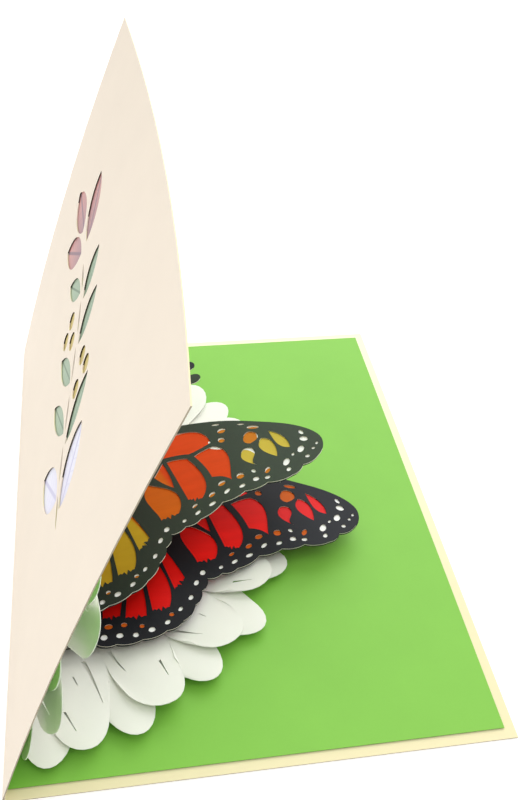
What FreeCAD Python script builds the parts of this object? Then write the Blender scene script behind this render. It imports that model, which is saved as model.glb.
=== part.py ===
import FreeCAD, Part
import math
import os

# A folded greeting card standing half open, with a layered daisy and two butterflies inside.
# Lengths are in millimetres and angles in degrees.  The page lies flat, the cover leans over it.
# The origin is the middle of the page's underside, +X runs from the fold to the free edge,
# +Y runs along the fold towards the head, and +Z is up.

# The card: a leaf is one half of the folded sheet
leaf_reach = 150.0
leaf_width = 200.0
opening_angle = 70.5
card_thick = 0.35
fold_radius = 1.00
cover_bow = 2.3
edge_pull = 4.15
near_corner_pull = 1.45
far_corner_push = 1.0

# The green lining, glued inside the card, and the printed sheet behind the windows
glue_gap = 0.30
lining_thick = 0.20
lining_margin = 3.3
print_thick = 0.08
print_edge = 6.0

# The daisy: two V-folded sheets with their folds above the card's own fold
daisy_thick = 0.25
daisy_fold_lower = 6.0
daisy_fold_upper = 7.2
petal_reach_lower = 93.0
petal_reach_upper = 90.5
petal_step = 17.3
lower_petal_count = 11
upper_petal_count = 10
petal_half_width = 7.9
petal_near_half_width = 9.8
petal_tip_half_width = 5.6
petal_root = 67.5
slit_width = 1.1

# The butterflies: each is a black cut sheet on a coloured sheet, folded along the body
wing_thick = 0.30
backing_growth = 1.006
sheet_gap = 0.03
lower_body_rise = 16.9
upper_body_rise = 22.8
lower_lift_right = 0.0
lower_lift_left = 0.0
upper_lift_right = 15.0
upper_lift_left = 2.5
wing_reach = 91.3
lower_wing_out = 15.2
lower_wing_back = 8.3
lower_wing_turn = -1.5
scallop_depth = 0.8
tooth_depth = 1.0
tooth_count = 4
antenna_width = 1.1
antenna_bend = 0.10
club_length = 6.4
club_width = 5.2

# The folded paper strips that carry each layer on the one behind it
strip_thick = 0.20
strip_width = 12.0
strip_tab = 8.0
strip_lean = 1.0
strip_gap = 0.03
daisy_strip_start = 24.0
daisy_strip_rows = (-45.0, 45.0)
lower_strip_start = 16.0
lower_strip_rows = (-30.0, 2.0)
upper_strip_start = 7.0
upper_strip_rows = (-22.0, 8.0)

# The cut windows of the cover: a leafy spray with buds and berries
spray_foot_reach = 58.0
spray_foot_up = 38.0
spray_height = 112.0
spray_sway = 34.0
spray_foot_share = 0.20
spray_step_share = 0.135
spray_leaf_length = 25.5
spray_leaf_half_width = 4.0
spray_leaf_lean = 48.0
berry_radius = 3.1
bud_length = 26.0
bud_half_width = 6.8
top_bud_length = 24.0
top_bud_half_width = 5.8
stem_half_width = 0.8

# How far a cutting tool reaches past a sheet on each side
tool_reach = 1.0


def turned(angle):
    """Give the unit vector in the upright section that is this many degrees above +X."""
    a = math.radians(angle)
    return FreeCAD.Vector(math.cos(a), 0, math.sin(a))


def along_fold(y):
    """Give the vector of this length along the fold."""
    return FreeCAD.Vector(0, y, 0)


half_width = leaf_width / 2
half_opening = opening_angle / 2
leaf_flat = leaf_reach - fold_radius
fold_centre = FreeCAD.Vector(fold_radius - leaf_reach / 2, 0, fold_radius)
crease_back = fold_radius / math.tan(math.radians(half_opening))
crease = FreeCAD.Vector(fold_centre.x - crease_back, 0, 0)
cover_along = turned(opening_angle)
cover_out = turned(opening_angle + 90)
lining_depth = card_thick + glue_gap
lining_inside = lining_depth + lining_thick


def bow_height(u, y):
    """Give how far the cover stands out of its flat plane, u from the fold and y along it."""
    share = u / leaf_flat
    across = 0.5 + y / leaf_width
    belly = 4 * cover_bow * share * (1 - share)
    pull = 4 * edge_pull * share * across * (1 - across)
    return belly - pull + share * corner_rise(across)


def corner_rise(across):
    """Give how far the free edge stands out through the cover's twist, 0 at its near end."""
    return far_corner_push * across - near_corner_pull * (1 - across)


class Half:
    """One flat half of a folded sheet: its fold, its direction, its inner side and thickness."""

    def __init__(self, fold, angle, side, thick):
        self.fold = fold
        self.along = turned(angle)
        self.inward = turned(angle + side * 90)
        self.thick = thick

    def outer(self, q):
        return self.fold + self.along * q

    def inner(self, q):
        return self.outer(q) + self.inward * self.thick

    def spot(self, q, p):
        return self.outer(q) + along_fold(p)


def halves(rise, lift_right, lift_left, thick):
    """Give both halves of a sheet whose fold is this far from the crease, between the leaves."""
    fold = crease + turned(half_opening) * rise
    right = Half(fold, lift_right, 1, thick)
    left = Half(fold, opening_angle - lift_left, -1, thick)
    return right, left


def mitre(right, left):
    """Give the step from the outer fold line to the inner fold line of a folded sheet."""
    both = right.inward + left.inward
    return both * (right.thick / (1 + right.inward.dot(left.inward)))


# Drawing on a sheet: q is the way out from the fold, p the way along it

def curve(points):
    """Give one smooth edge through the points."""
    line = Part.BSplineCurve()
    line.interpolate(points)
    return [line.toShape()]


def straight(points):
    """Give straight edges from point to point."""
    return [Part.makeLine(a, b) for a, b in zip(points, points[1:])]


def bulges(points, depth, middle):
    """Give shallow arcs from point to point that swell away from the middle."""
    edges = []
    for a, b in zip(points, points[1:]):
        centre = (a + b) * 0.5
        out = centre - middle
        chord = b - a
        out = out - chord * (out.dot(chord) / chord.dot(chord))
        out.normalize()
        edges.append(Part.Arc(a, centre + out * depth, b).toShape())
    return edges


def teeth(start, end, count, depth):
    """Give the points of a torn edge from start to end, in uneven teeth."""
    run_q = end[0] - start[0]
    run_p = end[1] - start[1]
    length = math.hypot(run_q, run_p)
    points = []
    for k in range(1, 2 * count):
        share = k / (2 * count)
        swing = depth * (0.55 + 0.45 * math.sin(5 * k))
        if k % 2:
            swing = -swing
        points.append((start[0] + run_q * share - run_p / length * swing,
                       start[1] + run_p * share + run_q / length * swing))
    return [start] + points + [end]


def closed(edges):
    """Give the closed outline that the edges make."""
    first = edges[0].firstVertex().Point
    wire = Part.Wire(Part.__sortEdges__(edges))
    if not wire.isClosed():
        raise ValueError("an outline is open near " + str(first))
    return wire


def oval(half, q, p, length, width, angle, place):
    """Give an oval outline, its length turned by the angle from the way out of the fold."""
    a = math.radians(angle)
    tip = place(q + length / 2 * math.cos(a), p + length / 2 * math.sin(a))
    side = place(q - width / 2 * math.sin(a), p + width / 2 * math.cos(a))
    middle = place(q, p)
    ring = Part.Ellipse(half.spot(*tip), half.spot(*side), half.spot(*middle))
    return Part.Wire([ring.toShape()])


def drawn_sheet(outline, holes):
    """Give the face that an outline and its holes make."""
    return Part.makeFace([outline] + holes, "Part::FaceMakerBullseye")


def mitre_tool(half, step):
    """Give the block that trims a half back to the mitre of its fold."""
    far = half.along * -leaf_reach
    below = half.fold - half.inward * tool_reach
    above = half.fold + step * 2
    corners = [half.fold, above, above + far, below + far, below, half.fold]
    section = Part.Face(Part.makePolygon(corners))
    section.translate(along_fold(-half_width))
    return section.extrude(along_fold(leaf_width))


def folded_sheet(rise, lifts, thick, draw):
    """Give the V-folded sheet: each half is made of the faces that draw gives."""
    right, left = halves(rise, lifts[0], lifts[1], thick)
    step = mitre(right, left)
    pieces = []
    for half in (right, left):
        faces = draw(half)
        blank = faces[0].extrude(half.inward * thick)
        pieces.append(blank.cut(mitre_tool(half, step)))
        pieces += [face.extrude(half.inward * thick) for face in faces[1:]]
    return pieces[0].fuse(pieces[1:]).removeSplitter()


# The card and its lining

def leaf_sheet(depth, thick, margin):
    """Give a folded sheet that lies this deep inside the card's outer face."""
    outer = fold_radius - depth
    inner = outer - thick
    width = leaf_width - 2 * margin
    page_size = leaf_flat - margin
    page_corner = FreeCAD.Vector(fold_centre.x, -width / 2, depth)
    page = Part.makeBox(page_size, width, thick, page_corner)
    fold = fold_sector(outer, inner, width)
    return page.fuse([fold, cover_sheet(depth, thick, margin)]).removeSplitter()


def fold_sector(outer, inner, width):
    """Give the round back of the fold, from the cover down to the page."""
    start = turned(opening_angle + 90)
    middle = turned(180 + half_opening)
    end = turned(270)
    centre = fold_centre + along_fold(-width / 2)
    back = Part.Arc(centre + start * outer, centre + middle * outer, centre + end * outer)
    front = Part.Arc(centre + end * inner, centre + middle * inner, centre + start * inner)
    edges = [back.toShape(), front.toShape()]
    edges += straight([centre + end * outer, centre + end * inner])
    edges += straight([centre + start * inner, centre + start * outer])
    return Part.Face(closed(edges)).extrude(along_fold(width))


def cover_sheet(depth, thick, margin):
    """Give a sheet on the bowed cover: one quadratic patch given its thickness."""
    base = fold_centre + cover_out * (fold_radius - depth - thick)
    surface = Part.BezierSurface()
    surface.increase(2, 2)
    for i in range(3):
        for j in range(3):
            rise = 2 * cover_bow * (i == 1) - edge_pull * i * (j == 1)
            rise = rise + corner_rise(j / 2) * i / 2
            pole = base + cover_along * (leaf_flat * i / 2) + cover_out * rise
            pole = pole + along_fold(leaf_width * (j - 1) / 2)
            surface.setPole(i + 1, j + 1, pole)
    sheet = surface.toShape().extrude(cover_out * thick)
    if margin == 0:
        return sheet
    return sheet.common(cover_tool(0, leaf_flat - margin, -half_width + margin, half_width - margin))


def cover_tool(u_low, u_high, y_low, y_high):
    """Give a block square to the cover over this stretch of it."""
    depth = fold_radius + cover_bow + edge_pull
    corners = [cover_spot(u_low, y_low), cover_spot(u_high, y_low), cover_spot(u_high, y_high),
               cover_spot(u_low, y_high), cover_spot(u_low, y_low)]
    face = Part.Face(Part.makePolygon(corners))
    face.translate(cover_out * -depth)
    return face.extrude(cover_out * (2 * depth))


def cover_spot(u, y):
    """Give a point of the flat plane through the middle of the cover's fold edge."""
    return fold_centre + cover_out * fold_radius + cover_along * u + along_fold(y)


# The cover's cut windows and the print behind them

def spray_point(share):
    """Give a point of the spray's stem, from its foot at 0 to its tip at 1."""
    u = spray_foot_reach + spray_sway * math.sin(share * math.pi / 2) ** 2
    return u, spray_foot_up - half_width + spray_height * share


def spray_slope(share):
    """Give the direction of the spray's stem there, in degrees from the way to the free edge."""
    low = spray_point(share - 0.01)
    high = spray_point(share + 0.01)
    return math.degrees(math.atan2(high[1] - low[1], high[0] - low[0]))


def blade(u, y, angle, length, half_wide):
    """Give a leaf or bud outline on the cover: two arcs from its foot to its tip."""
    a = math.radians(angle)
    ahead = (math.cos(a), math.sin(a))
    aside = (-math.sin(a), math.cos(a))
    foot = cover_spot(u, y)
    tip = cover_spot(u + length * ahead[0], y + length * ahead[1])
    mid_u = u + length / 2 * ahead[0]
    mid_y = y + length / 2 * ahead[1]
    left = cover_spot(mid_u + half_wide * aside[0], mid_y + half_wide * aside[1])
    right = cover_spot(mid_u - half_wide * aside[0], mid_y - half_wide * aside[1])
    return Part.Wire([Part.Arc(foot, left, tip).toShape(), Part.Arc(tip, right, foot).toShape()])


def beside_stem(share, side, reach):
    """Give the point this far from the stem, on the side towards the spine at 1."""
    u, y = spray_point(share)
    turn = math.radians(spray_slope(share) + side * 90)
    return u + reach * math.cos(turn), y + reach * math.sin(turn)


def spray_blade(step, side, length, half_wide):
    """Give the outline of the leaf or bud that grows at this step of the stem."""
    share = spray_foot_share + spray_step_share * step + side * 0.022
    u, y = beside_stem(share, side, 2 * stem_half_width + 0.4)
    return blade(u, y, spray_slope(share) + side * spray_leaf_lean, length, half_wide)


def berry(step, side, ahead, reach):
    """Give the outline of one berry, ahead of a step of the stem by a share of its height."""
    share = spray_foot_share + spray_step_share * step + ahead
    u, y = beside_stem(share, side, reach)
    return Part.Wire([Part.Circle(cover_spot(u, y), cover_out, berry_radius).toShape()])


def spray_windows():
    """Give the outlines of the cover's windows."""
    windows = []
    for side in (-1, 1):
        windows.append(spray_blade(-0.35, side, bud_length, bud_half_width))
    for step, side in ((1, -1), (1, 1), (2, 1), (3, -1), (4, -1), (4, 1)):
        length = spray_leaf_length * (1 - 0.07 * step)
        windows.append(spray_blade(step, side, length, spray_leaf_half_width))
    for step, side in ((2, -1), (3, 1)):
        for ahead, reach in ((-0.001, 6.6), (0.079, 9.6), (0.037, 15.2)):
            windows.append(berry(step, side, ahead + 0.024 * side, reach))
    for share, lean in ((0.97, 0), (0.90, 42), (0.90, -42)):
        u, y = spray_point(share)
        slope = spray_slope(share) + lean
        start = math.radians(slope)
        windows.append(blade(u + 4 * math.cos(start), y + 4 * math.sin(start), slope,
                             top_bud_length, top_bud_half_width))
    return windows + stem_windows()


def stem_windows():
    """Give the slots of the stem, one between each two steps."""
    slots = []
    for step in range(-1, 5):
        low = spray_point(spray_foot_share + spray_step_share * (step + 0.10))
        high = spray_point(spray_foot_share + spray_step_share * (step + 0.88))
        length = math.hypot(high[0] - low[0], high[1] - low[1])
        angle = math.degrees(math.atan2(high[1] - low[1], high[0] - low[0]))
        slots.append(blade(low[0], low[1], angle, length, stem_half_width))
    return slots


def card():
    """Give the folded card with its windows cut through the cover."""
    sheet = leaf_sheet(0, card_thick, 0)
    depth = fold_radius + cover_bow + edge_pull
    cutters = []
    for outline in spray_windows():
        face = Part.Face(outline)
        face.translate(cover_out * -depth)
        cutters.append(face.extrude(cover_out * (2 * depth)))
    return sheet.cut(cutters).removeSplitter()


def window_print():
    """Give the printed sheet that lies between the cover and the lining, behind the windows."""
    spots = [spray_point(0), spray_point(1)]
    u_low = min(spot[0] for spot in spots) - spray_leaf_length - print_edge
    u_high = max(spot[0] for spot in spots) + spray_leaf_length + print_edge
    y_low = spots[0][1] - print_edge
    y_high = spots[1][1] + top_bud_length + print_edge
    depth = card_thick + (glue_gap - print_thick) / 2
    sheet = cover_sheet(depth, print_thick, 0)
    return sheet.common(cover_tool(u_low, u_high, y_low, y_high))


# The daisy

def petal_spot(reach, angle, aside=0.0):
    """Give a point this far from the daisy's middle, stepped aside square to that way."""
    a = math.radians(angle)
    q = reach * math.sin(a) + aside * math.cos(a)
    p = -reach * math.cos(a) + aside * math.sin(a)
    return q, p


def petal_angle(k, count):
    """Give the way that a petal points, 0 along the fold and 90 square to it."""
    return 90 + (k - (count - 1) / 2) * petal_step


def daisy_outline(half, count, reach, near_half_width):
    """Give the outline of half a daisy, each petal as wide as this on its near side."""
    edges = []
    for k in range(count):
        angle = petal_angle(k, count)
        shoulder = petal_root + 0.45 * (reach - petal_root)
        brow = petal_root + 0.80 * (reach - petal_root)
        near_tip = petal_tip_half_width * near_half_width / petal_half_width
        points = [petal_spot(petal_root, angle - petal_step / 2),
                  petal_spot(shoulder, angle, -near_half_width),
                  petal_spot(brow, angle, -near_tip),
                  petal_spot(reach, angle),
                  petal_spot(brow, angle, petal_tip_half_width),
                  petal_spot(shoulder, angle, petal_half_width),
                  petal_spot(petal_root, angle + petal_step / 2)]
        edges += curve([half.spot(q, p) for q, p in points])
    first = petal_spot(petal_root, petal_angle(0, count) - petal_step / 2)
    last = petal_spot(petal_root, petal_angle(count - 1, count) + petal_step / 2)
    back = -petal_root / 4
    corners = [last, (back, last[1]), (back, first[1]), first]
    return closed(edges + straight([half.spot(q, p) for q, p in corners]))


def petal_slits(half, count, reach):
    """Give the tapered slits cut into each petal, wide at the inner end."""
    slits = []
    for k in range(count):
        angle = petal_angle(k, count)
        for aside, low, high in ((3.2, 0.66, 0.84), (-3.0, 0.83, 0.91), (-0.8, 0.70, 0.745)):
            width = slit_width * min(1.0, (high - low) * 9)
            points = [petal_spot(low * reach, angle, aside * 1.25 - width / 2),
                      petal_spot(low * reach, angle, aside * 1.25 + width / 2),
                      petal_spot(high * reach, angle, aside),
                      petal_spot(low * reach, angle, aside * 1.25 - width / 2)]
            slits.append(closed(straight([half.spot(q, p) for q, p in points])))
    return slits


def daisy_lower(half):
    """Draw half of the daisy's lower sheet."""
    outline = daisy_outline(half, lower_petal_count, petal_reach_lower, petal_half_width)
    return [drawn_sheet(outline, [])]


def daisy_upper(half):
    """Draw half of the daisy's upper sheet, with its slits."""
    outline = daisy_outline(half, upper_petal_count, petal_reach_upper, petal_near_half_width)
    return [drawn_sheet(outline, petal_slits(half, upper_petal_count, petal_reach_upper))]


# The butterflies: points are (q, p) on one half of the upper butterfly, for its drawn reach

drawn_reach = 91.3
head_and_breast = [(0.0, 36.0), (2.4, 34.6), (3.1, 31.4), (2.4, 28.6), (3.8, 26.0), (4.4, 22.6)]
leading_edge = [(14.0, 22.6), (28.0, 21.8), (43.3, 20.3), (60.0, 16.7), (71.0, 12.2),
                (80.0, 7.8), (87.6, 2.2), (91.3, -4.0), (90.9, -7.8), (88.6, -11.2)]
fore_margin = [(88.6, -11.2), (82.8, -13.6), (78.6, -17.0), (70.0, -17.3), (62.0, -18.5),
               (54.0, -20.8), (46.0, -25.5), (40.8, -27.0), (35.8, -28.8)]
hind_margin = [(35.8, -28.8), (33.6, -33.6), (31.0, -39.0), (26.8, -44.6), (21.6, -47.6),
               (14.0, -50.2), (6.0, -51.2), (0.0, -50.8)]

# Each torn cell is its smooth sides, corner to corner; a torn end closes it
torn_cells = [
    [[(42.8, -16.1), (40.2, -7.2), (36.9, 3.8)], [(36.9, 3.8), (40.8, 3.8), (44.2, 3.0)],
     [(44.2, 3.0), (49.2, -8.0), (49.4, -12.4), (47.4, -16.9)]],
    [[(33.0, -21.9), (29.9, -15.0), (28.0, -9.0), (29.4, -4.6)],
     [(29.4, -4.6), (34.6, -7.6), (39.4, -12.4), (40.2, -16.6), (39.0, -20.8)]],
    [[(24.9, -32.2), (21.4, -20.8), (17.0, -6.6)], [(17.0, -6.6), (23.2, -16.6), (28.5, -27.8)]],
    [[(17.4, -39.8), (16.4, -33.0), (14.9, -21.0), (14.8, -9.0)],
     [(14.8, -9.0), (20.0, -21.2), (23.6, -35.0), (22.8, -38.9)]],
    [[(8.9, -41.9), (9.5, -32.8), (11.2, -20.0), (12.9, -10.6)],
     [(12.9, -10.6), (13.8, -24.0), (15.2, -34.5), (15.5, -41.6)]],
    [[(1.8, -41.6), (2.2, -35.0), (4.6, -26.0), (10.6, -12.0)],
     [(10.6, -12.0), (9.6, -24.0), (8.2, -33.4), (7.2, -41.0)]]]

# Each smooth cell is its sides, corner to corner
smooth_cells = [
    [[(9.0, 10.6), (26.0, 16.8), (41.0, 16.5), (48.0, 15.2), (53.4, 7.8)],
     [(53.4, 7.8), (49.6, 6.2), (45.2, 4.9)], [(45.2, 4.9), (36.7, 6.0), (22.0, 5.8), (9.0, 10.6)]],
    [[(58.3, -11.9), (55.2, -9.4), (51.9, -8.6)], [(51.9, -8.6), (49.6, -2.0), (46.8, 3.2)],
     [(46.8, 3.2), (50.2, 4.8), (54.0, 5.6)], [(54.0, 5.6), (58.2, 1.0), (58.8, -4.6), (58.3, -11.9)]],
    [[(38.5, -9.0), (35.0, -5.8), (32.0, -2.0)], [(32.0, -2.0), (33.8, 1.0), (35.4, 3.8)],
     [(35.4, 3.8), (37.4, -2.6), (38.5, -9.0)]],
    [[(12.0, 3.4), (21.0, 3.0), (28.0, -1.4)], [(28.0, -1.4), (27.0, -4.4), (26.2, -7.6)],
     [(26.2, -7.6), (19.6, -2.6), (12.0, 3.4)]],
    [[(67.6, -8.3), (64.9, -6.2), (62.9, -2.9), (64.4, 0.4), (66.8, 0.1), (67.8, -2.8),
      (66.7, -5.4), (67.6, -8.3)]],
    [[(75.0, -6.9), (72.2, -4.4), (69.8, -0.6), (71.0, 3.6)],
     [(71.0, 3.6), (73.2, 2.4), (75.2, -1.7), (75.0, -6.9)]],
    [[(80.0, -4.2), (77.2, -2.6), (75.0, 2.0), (74.0, 6.3)],
     [(74.0, 6.3), (77.5, 3.2), (79.8, -1.0), (80.0, -4.2)]],
    [[(66.9, 2.4), (64.9, 6.0), (66.6, 8.2), (69.3, 7.1), (66.9, 2.4)]]]

# Each spot is the place of its middle, its length, its width and its turn
bright_spots = [
    (69.0, 9.9, 4.4, 1.5, -18), (57.8, 12.2, 3.0, 2.2, 0), (57.2, 7.6, 2.6, 2.2, -40),
    (54.8, -12.6, 2.8, 1.9, 25), (61.4, -11.4, 2.7, 2.5, 0), (50.9, -16.4, 2.6, 1.6, 35),
    (44.7, -19.4, 2.2, 1.1, 35), (70.8, -12.0, 2.8, 1.7, 60), (3.6, -44.7, 2.6, 1.8, 0),
    (8.4, -44.4, 2.0, 1.6, 0), (13.9, -45.3, 1.6, 1.4, 0), (23.3, -41.8, 1.6, 1.4, 0)]
white_spots = [
    (85.0, 1.4, 2.4, 1.3, -60), (85.3, -2.0, 3.0, 2.0, -30), (83.4, -6.4, 3.0, 2.2, 60),
    (87.6, -7.5, 1.2, 0.9, 0), (89.2, -5.6, 1.2, 0.9, 45), (85.0, -10.4, 1.6, 1.2, 0),
    (77.6, -10.6, 3.2, 2.2, 60), (77.8, -14.1, 1.8, 1.5, 45), (80.4, -7.9, 1.3, 0.9, 40),
    (70.3, -15.2, 2.0, 1.2, 0), (66.4, -14.6, 2.2, 1.7, 0), (66.1, -10.8, 1.8, 1.2, -40),
    (61.4, -16.0, 2.2, 1.3, 20), (56.1, -16.6, 2.6, 1.3, 40), (50.6, -20.4, 2.6, 1.3, 25),
    (45.4, -22.6, 2.4, 1.2, 35), (40.6, -24.6, 1.6, 1.1, 35), (34.4, -26.3, 2.0, 1.8, 45),
    (32.0, -30.2, 2.2, 1.5, 60), (29.8, -35.9, 2.0, 1.4, 55), (26.2, -40.0, 1.8, 1.2, 50),
    (21.9, -44.6, 2.0, 1.4, 35), (16.9, -46.9, 2.2, 1.7, 10), (11.9, -48.4, 1.8, 1.6, 0),
    (7.0, -48.2, 2.2, 1.7, 0), (2.2, -48.5, 2.2, 1.9, 0), (56.1, 15.9, 2.8, 0.7, -12),
    (65.0, 12.9, 2.6, 0.6, -18)]


class Butterfly:
    """One butterfly's places: where its body and its wings lie on the sheet."""

    def __init__(self, out, back, turn, antenna_tip, growth=1.0):
        self.out = out
        self.back = back
        self.turn = math.radians(turn)
        self.antenna_tip = antenna_tip
        self.size = growth * wing_reach / drawn_reach

    def body(self, q, p):
        return q, p - self.back

    def wing(self, q, p):
        turned_q = q * math.cos(self.turn) - p * math.sin(self.turn)
        turned_p = q * math.sin(self.turn) + p * math.cos(self.turn)
        return turned_q * self.size + self.out, turned_p * self.size - self.back


upper_places = (0.0, 0.0, 0.0, (50.5, 44.0))
lower_places = (lower_wing_out, lower_wing_back, lower_wing_turn, (54.5, 72.0))
upper_butterfly = Butterfly(*upper_places)
lower_butterfly = Butterfly(*lower_places)
upper_backing = Butterfly(*upper_places, backing_growth)
lower_backing = Butterfly(*lower_places, backing_growth)


def butterfly_outline(half, insect):
    """Give the outline of one half of a butterfly, from its head round the wings to the tail."""
    front = [half.spot(*insect.body(q, p)) for q, p in head_and_breast]
    leading = [half.spot(*insect.wing(q, p)) for q, p in leading_edge]
    fore = [half.spot(*insect.wing(q, p)) for q, p in fore_margin]
    hind = [half.spot(*insect.wing(q, p)) for q, p in hind_margin]
    middle = half.spot(*insect.wing(30.0, 0.0))
    tail = half.spot(0, insect.wing(*hind_margin[-1])[1])
    edges = curve(front) + curve([front[-1]] + leading)
    edges += bulges(fore, scallop_depth, middle) + bulges(hind, scallop_depth, middle)
    if hind[-1].distanceToPoint(tail) > sheet_gap:
        edges += straight([hind[-1], tail])
    return closed(edges + straight([tail, front[0]]))


def cell_edges(half, insect, sides):
    """Give the smooth edges of a cell, one for each side."""
    edges = []
    for side in sides:
        edges += curve([half.spot(*insect.wing(q, p)) for q, p in side])
    return edges


def butterfly_holes(half, insect):
    """Give the outlines of all the cells and spots cut through the black sheet."""
    holes = []
    for sides in torn_cells:
        torn = teeth(sides[-1][-1], sides[0][0], tooth_count, tooth_depth)
        ragged = [half.spot(*insect.wing(q, p)) for q, p in torn]
        holes.append(closed(cell_edges(half, insect, sides) + straight(ragged)))
    for sides in smooth_cells:
        holes.append(closed(cell_edges(half, insect, sides)))
    for q, p, length, width, angle in bright_spots + white_spots:
        holes.append(oval(half, q, p, length, width, angle, insect.wing))
    return holes


def antenna(half, insect):
    """Give the faces of one antenna: a slim curved stalk and its oval club."""
    root_q, root_p = insect.body(1.2, 34.8)
    tip_q, tip_p = insect.antenna_tip
    length = math.hypot(tip_q - root_q, tip_p - root_p)
    aside_q = -(tip_p - root_p) / length
    aside_p = (tip_q - root_q) / length
    mid_q = (root_q + tip_q) / 2 + aside_q * length * antenna_bend
    mid_p = (root_p + tip_p) / 2 + aside_p * length * antenna_bend
    centres = [(root_q, root_p), (mid_q, mid_p), (tip_q, tip_p)]
    step_q = aside_q * antenna_width / 2
    step_p = aside_p * antenna_width / 2
    near = [half.spot(q - step_q, p - step_p) for q, p in centres]
    far = [half.spot(q + step_q, p + step_p) for q, p in centres[::-1]]
    ends = straight([near[-1], far[0]]) + straight([far[-1], near[0]])
    stalk = Part.Face(closed(curve(near) + curve(far) + ends))
    slope = math.degrees(math.atan2(tip_p - root_p, tip_q - root_q))
    club = oval(half, tip_q, tip_p, club_length, club_width, slope, lambda q, p: (q, p))
    return [stalk, Part.Face(club)]


def black_half(half, insect):
    """Draw half of a butterfly's black sheet."""
    wings = drawn_sheet(butterfly_outline(half, insect), butterfly_holes(half, insect))
    return [wings] + antenna(half, insect)


def coloured_half(half, insect):
    """Draw half of a butterfly's coloured sheet, which backs the black one all over."""
    return [drawn_sheet(butterfly_outline(half, insect), [])]


def backing_rise(body_rise, lifts):
    """Give the rise of a coloured sheet's fold, so that it lies just behind the black one."""
    flattest = min(half_opening - lifts[0], half_opening - lifts[1])
    return body_rise - (wing_thick + sheet_gap) / math.sin(math.radians(flattest))


# The strips: each has a tab glued to the sheet behind, a riser, and a tab under the sheet ahead

def ribbon(points, thick, width, y):
    """Give a strip of this thickness that follows the points, centred at y along the fold."""
    normals = []
    for a, b in zip(points, points[1:]):
        run = b - a
        normals.append(FreeCAD.Vector(-run.z, 0, run.x).normalize())
    steps = [normals[0] * (thick / 2)]
    for one, two in zip(normals, normals[1:]):
        steps.append((one + two) * (thick / 2 / (1 + one.dot(two))))
    steps.append(normals[-1] * (thick / 2))
    above = [p + s for p, s in zip(points, steps)]
    below = [p - s for p, s in zip(points, steps)]
    section = Part.Face(Part.makePolygon(above + below[::-1] + above[:1]))
    section.translate(along_fold(y - width / 2))
    return section.extrude(along_fold(width))


def strip(carrier, target, start, y, sink):
    """Give the strip between two sheets, its foot this far out from the carrier's fold."""
    lift = strip_thick / 2 + strip_gap
    foot = carrier.inner(start) + carrier.inward * (lift - sink)
    heel = carrier.inner(start + strip_tab) + carrier.inward * (lift - sink)
    out = (heel - target.fold).dot(target.along) + strip_lean
    knee = target.outer(out) - target.inward * lift
    head = target.outer(out + strip_tab) - target.inward * lift
    return ribbon([foot, heel, knee, head], strip_thick, strip_width, y)


def cover_sink(start, y):
    """Give how far the bowed cover lies outside its flat plane, all under a strip's foot."""
    reaches = (start, start + strip_tab)
    rows = (y - strip_width / 2, y + strip_width / 2)
    return min(bow_height(u, row) for u in reaches for row in rows)


def leaf_halves():
    """Give the lining's two halves, as what the daisy's strips stand on."""
    page = Half(fold_centre + FreeCAD.Vector(0, 0, lining_depth - fold_radius), 0, 1, lining_thick)
    cover_fold = fold_centre + cover_out * (fold_radius - lining_depth)
    return page, Half(cover_fold, opening_angle, -1, lining_thick)


def strips():
    """Give every strip by name: two on each side at each of the three levels."""
    upper_lifts = (upper_lift_right, upper_lift_left)
    lower_lifts = (lower_lift_right, lower_lift_left)
    daisy_back = halves(daisy_fold_lower, 0, 0, daisy_thick)
    daisy_front = halves(daisy_fold_upper, 0, 0, daisy_thick)
    lower_back = halves(backing_rise(lower_body_rise, lower_lifts), *lower_lifts, wing_thick)
    lower_front = halves(lower_body_rise, *lower_lifts, wing_thick)
    upper_back = halves(backing_rise(upper_body_rise, upper_lifts), *upper_lifts, wing_thick)
    levels = [("daisy", leaf_halves(), daisy_back, daisy_strip_start, daisy_strip_rows),
              ("lower_butterfly", daisy_front, lower_back, lower_strip_start, lower_strip_rows),
              ("upper_butterfly", lower_front, upper_back, upper_strip_start, upper_strip_rows)]
    made = {}
    for level, carriers, targets, start, rows in levels:
        for side, carrier, target in zip(("page", "cover"), carriers, targets):
            for row, y in zip(("near", "far"), rows):
                on_cover = level == "daisy" and side == "cover"
                sink = cover_sink(start, y) if on_cover else 0.0
                name = level + "_strip_" + side + "_" + row
                made[name] = strip(carrier, target, start, y, sink)
    return made


def sub_parts():
    """Give every sub-part by the name of its node."""
    lower_lifts = (lower_lift_right, lower_lift_left)
    upper_lifts = (upper_lift_right, upper_lift_left)
    lower_back = backing_rise(lower_body_rise, lower_lifts)
    upper_back = backing_rise(upper_body_rise, upper_lifts)
    parts = {
        "card": card(),
        "green_lining": leaf_sheet(lining_depth, lining_thick, lining_margin),
        "window_print": window_print(),
        "daisy_lower_sheet": folded_sheet(daisy_fold_lower, (0, 0), daisy_thick, daisy_lower),
        "daisy_upper_sheet": folded_sheet(daisy_fold_upper, (0, 0), daisy_thick, daisy_upper),
        "lower_butterfly_coloured_sheet": folded_sheet(
            lower_back, lower_lifts, wing_thick, lambda half: coloured_half(half, lower_backing)),
        "lower_butterfly_black_sheet": folded_sheet(
            lower_body_rise, lower_lifts, wing_thick, lambda half: black_half(half, lower_butterfly)),
        "upper_butterfly_coloured_sheet": folded_sheet(
            upper_back, upper_lifts, wing_thick, lambda half: coloured_half(half, upper_backing)),
        "upper_butterfly_black_sheet": folded_sheet(
            upper_body_rise, upper_lifts, wing_thick, lambda half: black_half(half, upper_butterfly))}
    parts.update(strips())
    return parts


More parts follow.
